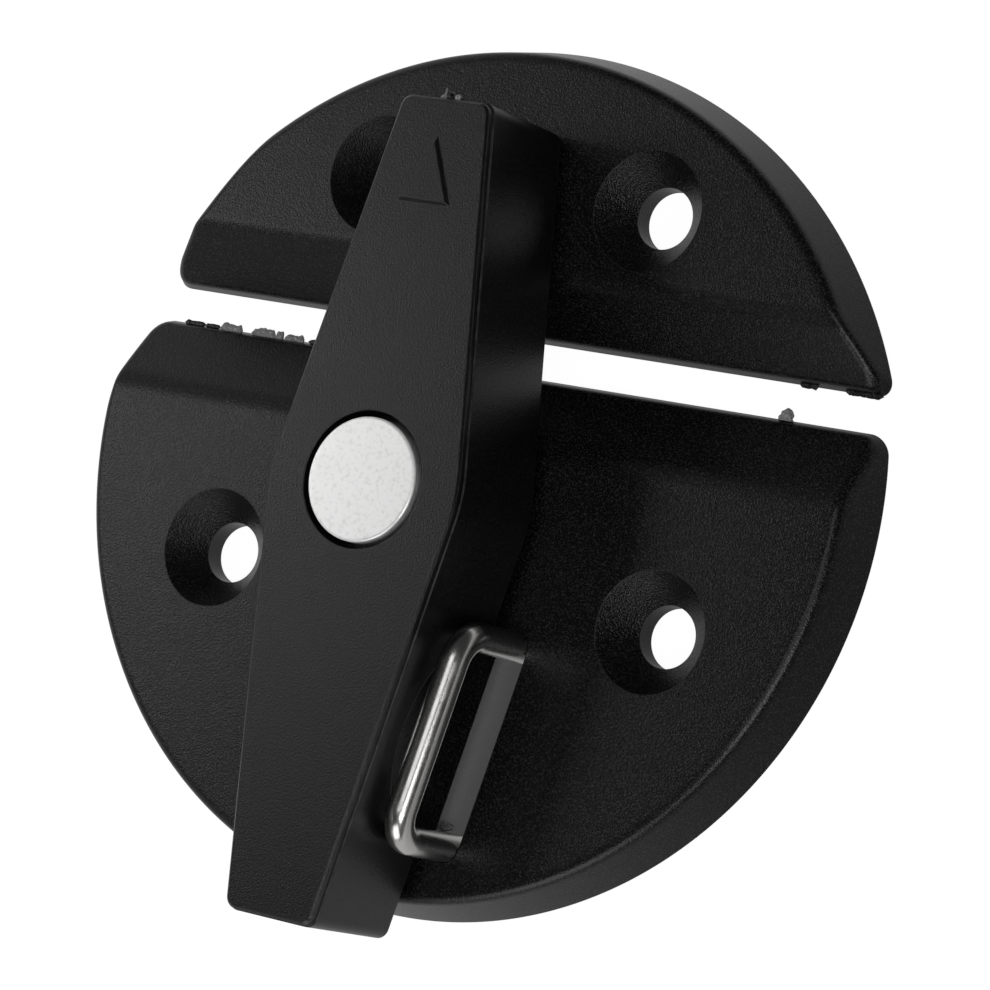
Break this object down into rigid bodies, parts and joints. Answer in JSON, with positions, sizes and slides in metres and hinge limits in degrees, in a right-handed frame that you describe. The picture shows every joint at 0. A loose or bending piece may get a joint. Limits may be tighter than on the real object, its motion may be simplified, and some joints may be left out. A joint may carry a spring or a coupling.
{
  "type": "boat hatch latch",
  "caption": "Round hatch latch: a base plate with a thick arrow-marked lever that turns over a keeper plate, and a wire staple for a padlock.",
  "frame": {"origin": "midway between the latch base's two screw holes, on the mounting face", "axes": "+Z away from the deck, +Y from the latch base towards the keeper plate"},
  "size_m": [0.072, 0.072, 0.0168],
  "materials": {
    "plate_plastic": "fine spark-eroded grain, black",
    "lever_plastic": "fine matt grain, black",
    "stainless_pin": "satin, mottled",
    "stainless_wire": "polished",
    "nylon_washer": "plain"
  },
  "bodies": {
    "fixed_plates": {"latch_base": "plate_plastic", "keeper_plate": "plate_plastic", "pivot_rivet": "stainless_pin", "disc_spring": "stainless_wire", "thrust_washer": "nylon_washer", "rear_washer": "stainless_wire", "padlock_staple": "stainless_wire"},
    "lever": {"turn_lever": "lever_plastic"}
  },
  "joints": [
    {"name": "lever_turn", "type": "hinge", "parent": "fixed_plates", "child": "lever", "pos_m": [0, 0.0068, 0.0058], "axis": [0, 0, 1], "range_deg": [-95, 0]}
  ]
}
